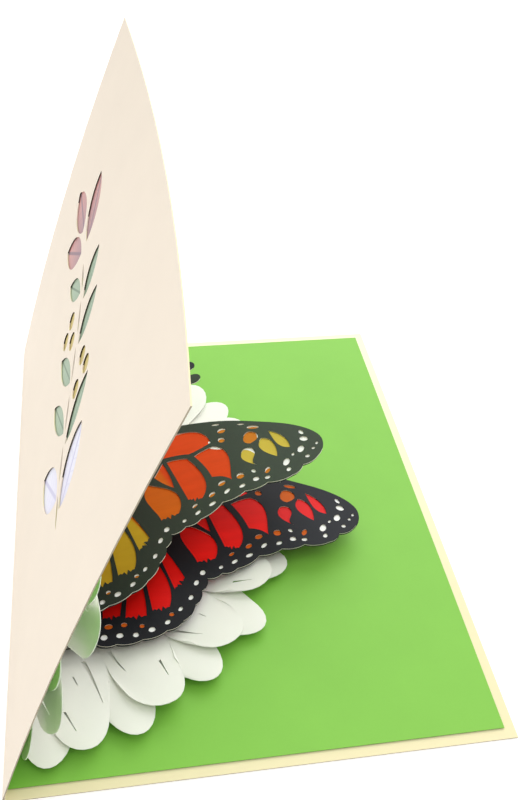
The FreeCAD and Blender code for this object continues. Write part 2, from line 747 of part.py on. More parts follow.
os.makedirs("parts", exist_ok=True)
for node, shape in sub_parts().items():
    if not shape.isValid() or len(shape.Solids) != 1:
        raise ValueError(node + " is not one sound solid: " + str(len(shape.Solids)))
    shape.Solids[0].exportStep("parts/" + node + ".step")
    box = shape.BoundBox
    print(node, round(shape.Volume, 1), [round(v, 2) for v in (box.XMin, box.YMin, box.ZMin)],
          [round(v, 2) for v in (box.XMax, box.YMax, box.ZMax)])
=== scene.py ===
"""Dresses the half-open pop-up card.

It gives the card, its lining and its cover's print their papers, builds the daisy's two sheets,
prints the butterflies and sets the studio round them.
"""

import math

import bpy
from bpy.props import FloatProperty, FloatVectorProperty, IntProperty, PointerProperty
from mathutils import Matrix, Vector


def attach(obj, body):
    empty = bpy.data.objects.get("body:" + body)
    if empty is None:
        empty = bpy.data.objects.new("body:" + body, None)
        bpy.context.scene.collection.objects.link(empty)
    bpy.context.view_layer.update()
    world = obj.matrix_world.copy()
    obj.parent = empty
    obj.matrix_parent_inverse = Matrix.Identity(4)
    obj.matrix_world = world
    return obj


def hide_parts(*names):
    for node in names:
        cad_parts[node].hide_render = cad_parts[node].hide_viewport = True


bl_info = {
    "name": "Pop-up card with daisy and butterflies",
    "version": (1, 0, 0),
    "blender": (4, 5, 0),
    "location": "View3D > Sidebar > Pop-up card",
    "description": "Papers, daisy, butterflies and studio for a half-open pop-up card",
    "category": "Object",
}

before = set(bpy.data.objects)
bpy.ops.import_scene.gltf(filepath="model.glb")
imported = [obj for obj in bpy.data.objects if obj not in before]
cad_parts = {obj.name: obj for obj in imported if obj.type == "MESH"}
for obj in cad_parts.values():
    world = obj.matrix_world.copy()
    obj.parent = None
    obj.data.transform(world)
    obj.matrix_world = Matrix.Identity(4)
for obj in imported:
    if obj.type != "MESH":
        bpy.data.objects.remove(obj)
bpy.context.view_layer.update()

mm = 0.001


# Sizes and colours that a user would change

class CardSizes(bpy.types.PropertyGroup):
    """The card's own sizes, as its frame has them."""

    opening: FloatProperty(
        name="Opening", description="Angle between the page and the cover",
        default=math.radians(70.5), subtype="ANGLE")
    fold_radius: FloatProperty(
        name="Fold radius", description="Outside radius of the card's fold",
        default=1.0 * mm, unit="LENGTH")
    leaf_reach: FloatProperty(
        name="Leaf reach", description="From the fold to a leaf's free edge",
        default=150.0 * mm, unit="LENGTH")
    lower_rise: FloatProperty(
        name="Lower butterfly rise", description="From the crease to the lower butterfly's body",
        default=16.9 * mm, unit="LENGTH")
    upper_rise: FloatProperty(
        name="Upper butterfly rise", description="From the crease to the upper butterfly's body",
        default=22.8 * mm, unit="LENGTH")
    upper_lift_right: FloatProperty(
        name="Upper wing lift", description="How far the upper butterfly's page wing rises",
        default=math.radians(15.0), subtype="ANGLE")
    upper_lift_left: FloatProperty(
        name="Upper cover wing lift", description="How far its other wing stands off the cover",
        default=math.radians(2.5), subtype="ANGLE")


class DaisySizes(bpy.types.PropertyGroup):
    """The daisy's two sheets and how their petals curl."""

    thickness: FloatProperty(
        name="Paper", description="Thickness of the daisy's paper",
        default=0.25 * mm, unit="LENGTH")
    lower_rise: FloatProperty(
        name="Lower sheet rise", description="From the crease to the lower sheet's fold",
        default=6.0 * mm, unit="LENGTH")
    upper_rise: FloatProperty(
        name="Upper sheet rise", description="From the crease to the upper sheet's fold",
        default=7.2 * mm, unit="LENGTH")
    lower_reach: FloatProperty(
        name="Lower petals", description="From the daisy's middle to a lower petal's tip",
        default=93.0 * mm, unit="LENGTH")
    upper_reach: FloatProperty(
        name="Upper petals", description="From the daisy's middle to an upper petal's tip",
        default=90.5 * mm, unit="LENGTH")
    petal_root: FloatProperty(
        name="Petal root", description="From the daisy's middle to where two petals part",
        default=67.5 * mm, unit="LENGTH")
    petal_step: FloatProperty(
        name="Petal step", description="Angle from one petal to the next",
        default=math.radians(17.3), subtype="ANGLE")
    cup: FloatProperty(
        name="Cup", description="How far a petal's sides fall below its middle line",
        default=0.9 * mm, unit="LENGTH")
    slit: FloatProperty(
        name="Slit", description="Width of a petal's slit at its inner end",
        default=1.1 * mm, unit="LENGTH")
    columns: IntProperty(
        name="Columns", description="Faces across one petal", default=14)


class PaperColours(bpy.types.PropertyGroup):
    """Colours of the papers, as linear light."""

    cream: FloatVectorProperty(
        name="Cream card", description="The card's outside", default=(0.93, 0.82, 0.68),
        size=3, subtype="COLOR")
    margin: FloatVectorProperty(
        name="Margin", description="The card's inside edge", default=(0.88, 0.79, 0.50),
        size=3, subtype="COLOR")
    green: FloatVectorProperty(
        name="Green lining", description="The lining's green", default=(0.235, 0.56, 0.070),
        size=3, subtype="COLOR")
    petal: FloatVectorProperty(
        name="Petal white", description="The daisy's paper", default=(0.93, 0.93, 0.86),
        size=3, subtype="COLOR")
    black_upper: FloatVectorProperty(
        name="Upper black", description="The upper butterfly's cut sheet",
        default=(0.040, 0.052, 0.038), size=3, subtype="COLOR")
    black_lower: FloatVectorProperty(
        name="Lower black", description="The lower butterfly's cut sheet",
        default=(0.018, 0.019, 0.023), size=3, subtype="COLOR")


class StudioSettings(bpy.types.PropertyGroup):
    """The camera's lens and the lights."""

    lens: FloatProperty(name="Lens", description="Focal length in millimetres", default=41.85)
    sky: FloatProperty(
        name="Sky", description="Strength of the even light all round", default=0.68)
    key: FloatProperty(
        name="Key", description="Power of the large soft light", default=9.8)
    fill: FloatProperty(
        name="Fill", description="Power of the light on the cover", default=1.75)
    top: FloatProperty(
        name="Top", description="Power of the soft light overhead", default=5.0)
    glow: FloatProperty(
        name="Floor glow", description="Strength of the floor's own light", default=0.28)


def card_sizes():
    """Give the card's sizes as the panel has them."""
    return bpy.context.scene.card_sizes


def daisy_sizes():
    """Give the daisy's sizes as the panel has them."""
    return bpy.context.scene.daisy_sizes


def colours():
    """Give the papers' colours as the panel has them."""
    return bpy.context.scene.paper_colours


# Places on the card

def turned(angle):
    """Give the unit vector in the upright section at this angle above +X."""
    return Vector((math.cos(angle), 0.0, math.sin(angle)))


def crease():
    """Give the line where the planes of both leaves would meet."""
    sizes = card_sizes()
    centre = sizes.fold_radius - sizes.leaf_reach / 2
    return Vector((centre - sizes.fold_radius / math.tan(sizes.opening / 2), 0.0, 0.0))


def fold_line(rise):
    """Give the fold of a sheet this far from the crease, between the leaves."""
    return crease() + turned(card_sizes().opening / 2) * rise


def wing_ways(level):
    """Give a butterfly's fold and the directions of its page wing and its cover wing."""
    sizes = card_sizes()
    if level == "upper":
        return (fold_line(sizes.upper_rise), sizes.upper_lift_right,
                sizes.opening - sizes.upper_lift_left)
    return fold_line(sizes.lower_rise), 0.0, sizes.opening


# Paints: one small set of tools that every paper's material is mixed with

class Paint:
    """One material, with its nodes made and linked as they are asked for."""

    def __init__(self, name, roughness=0.6, specular=0.3):
        self.material = bpy.data.materials.new(name)
        self.material.use_nodes = True
        self.tree = self.material.node_tree
        self.shader = self.tree.nodes["Principled BSDF"]
        self.shader.inputs["Roughness"].default_value = roughness
        self.shader.inputs["Specular IOR Level"].default_value = specular
        self.count = 0
        self.place = self.make("ShaderNodeTexCoord").outputs["Object"]

    def make(self, kind, **settings):
        """Add a node and set what is named."""
        node = self.tree.nodes.new(kind)
        for name, value in settings.items():
            setattr(node, name, value)
        node.location = (-220 * (1 + self.count % 12), -190 * (self.count // 12))
        self.count += 1
        return node

    def feed(self, socket, value):
        """Link a socket, or set it where the value is a plain one."""
        if isinstance(value, bpy.types.NodeSocket):
            self.tree.links.new(value, socket)
        elif isinstance(value, (int, float)):
            socket.default_value = value
        elif len(value) == 3 and len(socket.default_value) == 4:
            socket.default_value = (*value, 1.0)
        else:
            socket.default_value = value

    def sum(self, operation, *values):
        """Give the outcome of a sum on plain values."""
        node = self.make("ShaderNodeMath", operation=operation)
        for socket, value in zip(node.inputs, values):
            self.feed(socket, value)
        return node.outputs["Value"]

    def vector(self, operation, *values):
        """Give the outcome of a sum on vectors, which is a plain value for a length or a dot."""
        node = self.make("ShaderNodeVectorMath", operation=operation)
        for socket, value in zip(node.inputs, values):
            self.feed(socket, value)
        scalar = operation in ("DOT_PRODUCT", "DISTANCE", "LENGTH")
        return node.outputs["Value" if scalar else "Vector"]

    def dot(self, along, start):
        """Give how far the surface's place lies along a direction from a start."""
        value = self.vector("DOT_PRODUCT", self.place, tuple(along))
        return self.sum("SUBTRACT", value, Vector(start).dot(Vector(along)))

    def point(self, x, y, z=0.0):
        """Give the vector with these three parts."""
        node = self.make("ShaderNodeCombineXYZ")
        for socket, value in zip(node.inputs, (x, y, z)):
            self.feed(socket, value)
        return node.outputs["Vector"]

    def turned_pair(self, x, y, angle):
        """Give how far a place lies along a direction in its plane, and how far aside of it."""
        cosine, sine = math.cos(angle), math.sin(angle)
        ahead = self.sum("MULTIPLY_ADD", x, cosine, self.sum("MULTIPLY", y, sine))
        aside = self.sum("MULTIPLY_ADD", x, -sine, self.sum("MULTIPLY", y, cosine))
        return ahead, aside

    def mix(self, share, one, other):
        """Mix two colours: the share of the other is 0 to 1."""
        node = self.make("ShaderNodeMix", data_type="RGBA")
        self.feed(node.inputs["Factor"], share)
        self.feed(node.inputs[6], one)
        self.feed(node.inputs[7], other)
        return node.outputs[2]

    def fade(self, value, low, high, from_value=0.0, to_value=1.0):
        """Give a smooth step between two values."""
        node = self.make("ShaderNodeMapRange", interpolation_type="SMOOTHSTEP")
        for socket, given in zip(node.inputs, (value, low, high, from_value, to_value)):
            self.feed(socket, given)
        return node.outputs["Result"]

    def noise(self, scale, detail=3.0, roughness=0.55, place=None, stretch=None):
        """Give a cloudy value, on the surface's place or on another, stretched where asked."""
        node = self.make("ShaderNodeTexNoise")
        where = self.place if place is None else place
        if stretch is not None:
            where = self.vector("MULTIPLY", where, stretch)
        self.feed(node.inputs["Vector"], where)
        node.inputs["Scale"].default_value = scale
        node.inputs["Detail"].default_value = detail
        node.inputs["Roughness"].default_value = roughness
        return node.outputs["Fac"]

    def grain(self, colour, depth=0.05, coarse=420.0):
        """Give a paper's colour with its faint cloudiness and fibres."""
        cloud = self.sum("MULTIPLY_ADD", self.noise(coarse * 0.12, 4.0), 2 * depth, 1 - depth)
        fibre = self.sum("MULTIPLY_ADD", self.noise(coarse * 3.0, 5.0, 0.7), depth, 1 - depth / 2)
        return self.tone(colour, self.sum("MULTIPLY", cloud, fibre))

    def tone(self, colour, shade):
        """Give a colour made lighter or darker by a value."""
        node = self.make("ShaderNodeVectorMath", operation="SCALE")
        self.feed(node.inputs[0], colour)
        self.feed(node.inputs["Scale"], shade)
        return node.outputs["Vector"]

    def tooth(self, scale=900.0, strength=0.12, distance=0.00006):
        """Give the paper its fine tooth as a bump."""
        height = self.sum("MULTIPLY_ADD", self.noise(scale, 6.0, 0.65), 0.7,
                          self.sum("MULTIPLY", self.noise(scale * 0.3, 3.0), 0.5))
        bump = self.make("ShaderNodeBump")
        bump.inputs["Strength"].default_value = strength
        bump.inputs["Distance"].default_value = distance
        self.feed(bump.inputs["Height"], height)
        self.feed(self.shader.inputs["Normal"], bump.outputs["Normal"])

    def wall(self, *normals):
        """Give 1 on a sheet's cut walls and 0 on faces that point along one of these normals."""
        facing = self.make("ShaderNodeNewGeometry").outputs["True Normal"]
        most = 0.0
        for normal in normals:
            along = self.sum("ABSOLUTE", self.vector("DOT_PRODUCT", facing, tuple(normal)))
            most = self.sum("MAXIMUM", along, most)
        return self.sum("LESS_THAN", most, 0.72)

    def finish(self, colour):
        """Put the colour on the shader."""
        self.feed(self.shader.inputs["Base Color"], colour)
        return self.material


def put_on(node, material):
    """Give a carried-over node this material alone."""
    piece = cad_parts[node]
    piece.data.materials.clear()
    piece.data.materials.append(material)


# The card, its lining and the print behind its windows

def cover_frame():
    """Give the cover's start at its fold, the way to its free edge and the way out of it."""
    sizes = card_sizes()
    centre = Vector((sizes.fold_radius - sizes.leaf_reach / 2, 0.0, sizes.fold_radius))
    out = turned(sizes.opening + math.pi / 2)
    return centre + out * sizes.fold_radius, turned(sizes.opening), out


def cream_card():
    """Give the card's own paper: cream outside, warmer inside, painted lighter towards the far
    end, with scorch and painted shade where windows are cut.

    A window's walls are the cut walls that are clear of the cover's fold and of its edges.
    """
    sizes = card_sizes()
    paint = Paint("cream_card", roughness=0.55, specular=0.25)
    start, along, out = cover_frame()
    inside = Vector((0.0, 0.0, 1.0))
    facing = paint.make("ShaderNodeNewGeometry").outputs["True Normal"]
    up_page = paint.sum("GREATER_THAN", paint.vector("DOT_PRODUCT", facing, tuple(inside)), 0.9)
    in_cover = paint.sum("GREATER_THAN", paint.vector("DOT_PRODUCT", facing, tuple(-out)), 0.9)
    inner = paint.sum("MAXIMUM", up_page, in_cover)
    y = paint.dot((0, 1, 0), (0, 0, 0))
    # Painted sheen: the inside margin is painted lighter and paler towards the card's far end.
    painted_far_sheen = paint.fade(y, -0.1, 0.1)
    margin = paint.mix(painted_far_sheen, colours().margin, (0.96, 0.93, 0.66))
    face = paint.mix(inner, paint.grain(colours().cream, 0.03), margin)
    u = paint.dot(along, start)
    clear_of_fold = paint.sum("GREATER_THAN", u, 12 * mm)
    clear_of_edge = paint.sum("LESS_THAN", u, sizes.leaf_reach - 6 * mm)
    clear_of_sides = paint.sum("LESS_THAN", paint.sum("ABSOLUTE", y), 96 * mm)
    middle = paint.sum("MULTIPLY", paint.sum("MULTIPLY", clear_of_fold, clear_of_edge),
                       clear_of_sides)
    cut = paint.wall(inside, out)
    # The windows' cut walls are painted near-black: partly their scorch, partly painted shade
    # inside the cut.
    edge = paint.mix(middle, (0.46, 0.39, 0.28), (0.045, 0.030, 0.020))
    paint.tooth(700.0, 0.10)
    return paint.finish(paint.mix(cut, face, edge))


def green_paper():
    """Give the lining's green, with its faint cloudiness."""
    paint = Paint("green_lining_paper", roughness=0.5, specular=0.3)
    colour = paint.grain(colours().green, 0.05)
    paint.tooth(800.0, 0.08)
    return paint.finish(colour)


# The spray's stem, in millimetres on the cover: how far its foot is from the fold, how far its tip
# bends away, how far its foot is from the card's near edge and its length along the fold
stem_foot_reach = 58.0
stem_bend = 34.0
stem_foot_edge = 38.0
stem_run = 112.0
card_half_width = 100.0

# Along the stem, from 0 to 1: the first pair of leaves, the step to the next, and how far the two
# of a pair are apart
first_pair = 0.20
pair_step = 0.135
pair_stagger = 0.022
side_lean = math.radians(48)
berry_radius = 3.1


def spray_place(share):
    """Give a point of the spray's stem on the cover, from its foot at 0 to its tip at 1."""
    u = stem_foot_reach + stem_bend * math.sin(share * math.pi / 2) ** 2
    return u * mm, (stem_foot_edge - card_half_width + stem_run * share) * mm


def spray_slope(share):
    """Give the stem's direction on the cover at a point."""
    low = spray_place(share - 0.01)
    high = spray_place(share + 0.01)
    return math.atan2(high[1] - low[1], high[0] - low[0])


def beside_stem(share, side, reach):
    """Give the point this far to one side of the stem."""
    u, y = spray_place(share)
    turn = spray_slope(share) + side * math.pi / 2
    return u + reach * math.cos(turn), y + reach * math.sin(turn)


def spray_motifs():
    """Give each motif's kind, foot, direction, length and half width."""
    motifs = []
    bells = [("bell", -0.35, side, 26 * mm, 6.8 * mm) for side in (-1, 1)]
    leaves = [("leaf", step, side, 25.5 * mm * (1 - 0.07 * step), 4.0 * mm)
              for step, side in ((1, -1), (1, 1), (2, 1), (3, -1), (4, -1), (4, 1))]
    for kind, step, side, length, half_wide in bells + leaves:
        share = first_pair + step * pair_step + side * pair_stagger
        foot = beside_stem(share, side, 2.0 * mm)
        way = spray_slope(share) + side * side_lean
        motifs.append((kind, foot, way, length, half_wide))
    for step, side in ((2, -1), (3, 1)):
        for ahead, reach in ((-0.001, 6.6), (0.079, 9.6), (0.037, 15.2)):
            share = first_pair + pair_step * step + ahead + 0.024 * side
            middle = beside_stem(share, side, reach * mm)
            foot = (middle[0], middle[1] - berry_radius * mm)
            motifs.append(("berry", foot, math.pi / 2, 2 * berry_radius * mm, berry_radius * mm))
    for share, lean in ((0.97, 0), (0.90, 42), (0.90, -42)):
        u, y = spray_place(share)
        way = spray_slope(share) + math.radians(lean)
        foot = (u + 4 * mm * math.cos(way), y + 4 * mm * math.sin(way))
        motifs.append(("bud", foot, way, 24 * mm, 5.8 * mm))
    return motifs


motif_tints = {
    "leaf": ((0.30, 0.42, 0.28), (0.46, 0.58, 0.42), (0.16, 0.25, 0.15)),
    "bell": ((0.80, 0.78, 0.93), (0.90, 0.90, 0.99), (0.62, 0.60, 0.80)),
    "berry": ((0.58, 0.43, 0.12), (0.76, 0.62, 0.22), (0.58, 0.43, 0.12)),
    "bud": ((0.40, 0.24, 0.27), (0.72, 0.34, 0.30), (0.26, 0.16, 0.20)),
}


def printed_sheet():
    """Give the print: every motif in its own tints, shaded from foot to tip, with its vein, on a
    near-black ground that is painted shade.
    """
    paint = Paint("printed_sheet", roughness=0.45, specular=0.3)
    start, along = cover_frame()[:2]
    u = paint.dot(along, start)
    y = paint.dot((0, 1, 0), (0, 0, 0))
    # Painted shade: the near-black ground shows as a dark ring round each motif in its window,
    # standing in for the shade and scorch of the window's cut.
    colour = paint.grain((0.050, 0.055, 0.040), 0.06)
    for kind, foot, way, length, half_wide in spray_motifs():
        step_u = paint.sum("SUBTRACT", u, foot[0])
        step_y = paint.sum("SUBTRACT", y, foot[1])
        ahead, aside = paint.turned_pair(step_u, step_y, way)
        run = paint.sum("DIVIDE", ahead, length)
        aside = paint.sum("DIVIDE", aside, half_wide)
        apart = paint.vector("LENGTH", paint.point(paint.sum(
            "MULTIPLY_ADD", run, 1.80, -0.90), paint.sum("MULTIPLY", aside, 0.80)))
        inside = paint.sum("LESS_THAN", apart, 0.90)
        foot_tint, tip_tint, vein_tint = motif_tints[kind]
        tint = paint.mix(run, foot_tint, tip_tint)
        if kind != "berry":
            slant = paint.sum("MULTIPLY_ADD", paint.sum("ABSOLUTE", aside), -0.6,
                              paint.sum("MULTIPLY", run, 7.0))
            side_vein = paint.sum("PINGPONG", slant, 0.5)
            fine = paint.fade(side_vein, 0.0, 0.10, 0.35, 0.0)
            middle = paint.fade(paint.sum("ABSOLUTE", aside), 0.05, 0.14, 0.9, 0.0)
            tint = paint.mix(paint.sum("MAXIMUM", fine, middle), tint, vein_tint)
        colour = paint.mix(inside, colour, tint)
    return paint.finish(colour)


# The butterflies' papers

# Places on a wing are in millimetres, q out from the fold and p forwards. Each spot is its
# middle, its length, its width and its turn in degrees, and each white one its middle and size
bright_spots = [
    (69.0, 9.9, 4.4, 1.5, -18), (57.8, 12.2, 3.0, 2.2, 0), (57.2, 7.6, 2.6, 2.2, -40),
    (54.8, -12.6, 2.8, 1.9, 25), (61.4, -11.4, 2.7, 2.5, 0), (50.9, -16.4, 2.6, 1.6, 35),
    (44.7, -19.4, 2.2, 1.1, 35), (70.8, -12.0, 2.8, 1.7, 60), (3.6, -44.7, 2.6, 1.8, 0),
    (8.4, -44.4, 2.0, 1.6, 0), (13.9, -45.3, 1.6, 1.4, 0), (23.3, -41.8, 1.6, 1.4, 0),
    (66.9, 5.6, 6.8, 5.4, 80)]
white_spots = [
    (85.0, 1.4, 2.4), (85.3, -2.0, 3.0), (83.4, -6.4, 3.0), (87.6, -7.5, 1.2), (89.2, -5.6, 1.2),
    (85.0, -10.4, 1.6), (77.6, -10.6, 3.2), (77.8, -14.1, 1.8), (80.4, -7.9, 1.3),
    (70.3, -15.2, 2.0), (66.4, -14.6, 2.2), (66.1, -10.8, 1.8), (61.4, -16.0, 2.2),
    (56.1, -16.6, 2.6), (50.6, -20.4, 2.6), (45.4, -22.6, 2.4), (40.6, -24.6, 1.6),
    (34.4, -26.3, 2.0), (32.0, -30.2, 2.2), (29.8, -35.9, 2.0), (26.2, -40.0, 1.8),
    (21.9, -44.6, 2.0), (16.9, -46.9, 2.2), (11.9, -48.4, 1.8), (7.0, -48.2, 2.2),
    (2.2, -48.5, 2.2), (56.1, 15.9, 2.8), (65.0, 12.9, 2.6)]
apex_cells = [
    (65.3, -3.6, 9.6, 5.6, 115), (72.6, -1.7, 12.4, 6.2, 112), (77.2, 1.0, 13.0, 4.6, 118)]
bare_rims = [
    (36.0, 16.9, 27.0, 1.3, -1), (54.9, 4.9, 6.4, 1.5, -24), (53.2, 8.0, 2.0, 1.1, -40)]

# How the lower butterfly lies against the drawn wing: its turn, and how far it is set out and back
lower_wing_turn = math.radians(-1.5)
lower_wing_out = 15.2
lower_wing_back = 8.3


def wing_place(paint, level):
    """Give q and p on a butterfly's wing pattern, in millimetres, from the place on its sheets."""
    fold, page_way, cover_way = wing_ways(level)
    out = paint.sum("MAXIMUM", paint.dot(turned(page_way), fold),
                    paint.dot(turned(cover_way), fold))
    y = paint.dot((0, 1, 0), (0, 0, 0))
    if level == "upper":
        return paint.sum("MULTIPLY", out, 1 / mm), paint.sum("MULTIPLY", y, 1 / mm)
    q = paint.sum("MULTIPLY_ADD", out, 1 / mm, -lower_wing_out)
    p = paint.sum("MULTIPLY_ADD", y, 1 / mm, lower_wing_back)
    return paint.turned_pair(q, p, lower_wing_turn)


def oval_mask(paint, q, p, spot, grow, drop):
    """Give 1 inside an oval grown by one length and set back towards the tail by another."""
    spot_q, spot_p, length, width, angle = spot
    step_q = paint.sum("SUBTRACT", q, spot_q)
    step_p = paint.sum("SUBTRACT", p, spot_p - drop)
    ahead, aside = paint.turned_pair(step_q, step_p, math.radians(angle))
    apart = paint.vector("LENGTH", paint.point(
        paint.sum("DIVIDE", ahead, length / 2 + grow),
        paint.sum("DIVIDE", aside, width / 2 + grow)))
    return paint.sum("LESS_THAN", apart, 1.0)


def upper_cells(paint, q, p):
    """Give the upper butterfly's cell colours: ochre hind wings, orange to red fore wings."""
    fore = paint.fade(paint.sum("MULTIPLY_ADD", q, 1.75, p), 21.2, 23.8)
    outer = paint.fade(paint.sum("MULTIPLY_ADD", p, 0.403, q), 33.4, 35.4)
    front = paint.fade(p, 1.0, 4.0)
    fore_colour = paint.mix(paint.sum("MAXIMUM", outer, front), (0.66, 0.130, 0.006),
                            (0.72, 0.062, 0.005))
    shade = paint.fade(p, -42.0, -14.0)
    hind_colour = paint.mix(shade, (0.54, 0.33, 0.018), (0.60, 0.39, 0.022))
    return paint.mix(fore, hind_colour, fore_colour)


def lower_cells(paint, q, p):
    """Give the lower butterfly's cell colours: bright red, deeper towards the body."""
    depth = paint.fade(p, -30.0, 4.0)
    inner = paint.fade(paint.sum("MULTIPLY_ADD", q, 0.8, p), -14.0, 24.0)
    red = paint.mix(inner, (0.80, 0.006, 0.004), (0.98, 0.010, 0.006))
    return paint.mix(depth, red, (0.90, 0.014, 0.012))


def wing_colours(level):
    """Give the coloured sheet's print: black edges, its cells, its spots and the bare dots.

    Drop is how far the print lies back under the black sheet's cuts, so a white rim shows.
    """
    paint = Paint(level + "_wing_print", roughness=0.5, specular=0.12)
    q, p = wing_place(paint, level)
    here = paint.point(q, p)
    if level == "upper":
        cells = upper_cells(paint, q, p)
        apex = (0.62, 0.47, 0.060)
        spot_colour = (0.60, 0.19, 0.012)
        drop = 0.5
    else:
        cells = lower_cells(paint, q, p)
        apex = (0.80, 0.020, 0.022)
        spot_colour = (0.66, 0.12, 0.008)
        drop = 0.0
    streak = paint.noise(0.35, 3.0, place=here, stretch=(0.25, 1.0, 1.0))
    cells = paint.tone(cells, paint.sum("MULTIPLY_ADD", streak, 0.24, 0.88))
    bound = paint.fade(q, 48.0, 52.0, 69.3, 73.3)
    edge = paint.sum("GREATER_THAN", paint.sum("MULTIPLY_ADD", p, -1.2, q), bound)
    tail = paint.sum("LESS_THAN", p, -43.2)
    lead_line = paint.sum("MINIMUM", 18.6, paint.sum("MULTIPLY_ADD", q, -0.26, 28.6))
    lead = paint.sum("GREATER_THAN", p, lead_line)
    tip = paint.sum("GREATER_THAN", q, 60.0)
    dark = paint.sum("MAXIMUM", paint.sum("MAXIMUM", edge, tail), paint.sum("MAXIMUM", lead, tip))
    bare = (0.96, 0.96, 0.95)
    colour = paint.mix(dark, cells, (0.026, 0.028, 0.027))
    white = 0.0
    for spot_q, spot_p, size in white_spots:
        near = paint.vector("DISTANCE", here, (spot_q, spot_p, 0.0))
        white = paint.sum("MAXIMUM", white, paint.sum("LESS_THAN", near, size / 2 + 0.4))
    if drop:
        for grow, ovals in ((1.0, apex_cells), (0.0, bare_rims), (0.5, bright_spots)):
            for oval in ovals:
                white = paint.sum("MAXIMUM", white, oval_mask(paint, q, p, oval, grow, 0.0))
    colour = paint.mix(white, colour, bare)
    for cell in apex_cells:
        mask = oval_mask(paint, q, p, cell, 0.0 if drop else 1.0, drop * 1.2)
        colour = paint.mix(mask, colour, apex)
    for spot in bright_spots:
        mask = oval_mask(paint, q, p, spot, 0.12 if drop else 0.5, drop)
        colour = paint.mix(mask, colour, spot_colour)
    paint.tooth(900.0, 0.08)
    return paint.finish(colour)


def black_paper(level):
    """Give the cut sheet's near-black paper, painted darker near the fold and lighter towards the
    wing tips, with the pale core at its cut edges.
    """
    paint = Paint(level + "_black_paper", roughness=0.5, specular=0.12)
    page_way, cover_way = wing_ways(level)[1:]
    q = wing_place(paint, level)[0]
    base = colours().black_upper if level == "upper" else colours().black_lower
    # Painted shade and sheen: the black is darker near the fold and lighter out towards the tips.
    painted_sheen_and_shade = paint.mix(paint.fade(q, 10.0, 90.0), tuple(c * 0.8 for c in base),
                      tuple(c * 1.4 for c in base))
    speckle = paint.fade(paint.noise(2600.0, 2.0), 0.66, 0.78, 0.0, 0.5)
    face = paint.mix(speckle, paint.grain(painted_sheen_and_shade, 0.10), tuple(c * 3.0 for c in base))
    cut = paint.wall(turned(page_way + math.pi / 2), turned(cover_way - math.pi / 2))
    paint.tooth(900.0, 0.10)
    return paint.finish(paint.mix(cut, face, (0.80, 0.76, 0.64)))


def strip_paper():
    """Give the folded strips' plain white paper."""
    paint = Paint("strip_paper", roughness=0.6, specular=0.25)
    colour = paint.grain((0.84, 0.85, 0.82), 0.05)
    paint.tooth(900.0, 0.10)
    return paint.finish(colour)


# The daisy

def petal_paper():
    """Give the petals' white paper, with its faint cloudiness and tooth."""
    paint = Paint("petal_paper", roughness=0.6, specular=0.15)
    colour = paint.grain(colours().petal, 0.03)
    paint.tooth(700.0, 0.14)
    return paint.finish(colour)


# Each slit is the two columns it parts, the reach it spans and how far across it starts and ends
slit_sets = (
    (((8, 9), (0.70, 0.885), (0.40, 0.66)), ((4, 5), (0.865, 0.935), (-0.48, -0.30)),
     ((6, 7), (0.745, 0.78), (-0.02, 0.04))),
    (((3, 4), (0.70, 0.81), (-0.74, -0.63)), ((8, 9), (0.84, 0.91), (0.36, 0.30))),
    (((3, 4), (0.78, 0.885), (-0.78, -0.42)), ((7, 8), (0.81, 0.84), (0.16, 0.18))))
slit_order = (0, 1, 2, 0, 2, 1, 0, 2, 1, 0)
# Shares of a petal's reach at which its grid has a row
petal_rows = (0.0, 0.10, 0.20, 0.30, 0.38, 0.45, 0.50, 0.55, 0.60, 0.65, 0.70, 0.72, 0.745, 0.78,
              0.81, 0.84, 0.865, 0.885, 0.91, 0.935, 0.96, 0.98, 1.0)


# Each petal from the near end to the far one: its lift, how much longer it is than its sheet's
# reach, how far its tip stands aside, and its half width on its near side, in millimetres
lower_page_petals = (
    (0.3, 1.0, 2.4, 8.0), (0.7, 0.6, 1.8, 8.0), (0.8, -1.0, 2.0, 8.0), (0.6, 0.2, -2.0, 8.4),
    (0.8, -0.6, -4.0, 8.4), (0.5, -0.4, 0.0, 8.0), (0.7, 0.0, 0.8, 8.0), (0.9, -0.4, -0.6, 8.0),
    (0.5, 0.0, 0.6, 8.0), (0.8, -0.6, 0.0, 8.0), (0.4, 0.0, 0.0, 8.0))
lower_cover_petals = (
    (0.3, 1.0, 2.4, 8.0), (1.8, 0.0, 1.0, 8.0), (6.4, 0.0, 1.0, 8.6), (2.0, 0.0, 0.0, 8.0),
    (1.0, -0.4, 0.0, 8.0), (0.6, 0.0, 0.0, 8.0), (0.8, -0.4, 0.0, 8.0), (0.9, 0.0, 0.0, 8.0),
    (0.6, -0.4, 0.0, 8.0), (0.5, 0.0, 0.0, 8.0), (0.3, 0.0, 0.0, 8.0))
upper_page_petals = (
    (1.2, 1.8, -0.4, 9.4), (2.4, -0.2, -0.4, 10.6), (2.4, -2.2, 2.2, 10.6), (3.0, -3.0, 1.6, 9.8),
    (2.2, -0.6, 0.4, 9.8), (2.4, 0.0, 0.0, 9.4), (1.8, -0.8, 0.4, 9.8), (2.4, 0.0, -0.4, 9.6),
    (2.0, -0.6, 0.0, 9.8), (1.6, 0.0, 0.4, 9.4))
upper_cover_petals = (
    (4.8, 3.4, 0.0, 9.4), (8.8, 0.8, 0.0, 11.4), (6.8, 0.0, 0.0, 10.4), (2.6, -0.6, 0.0, 9.8),
    (1.6, -0.4, 0.0, 9.8), (1.4, 0.0, 0.0, 9.8), (1.6, -0.6, 0.0, 9.8), (1.8, 0.0, 0.0, 9.8),
    (1.6, -0.4, 0.0, 9.8), (1.6, 0.0, 0.0, 9.4))


# A petal's half width on its far side in millimetres, where its round tip starts, as a share of
# its free length, and where it starts to rise, as a share of its reach
far_half_width = 8.0
shoulder = 0.44
rise_start = 0.45


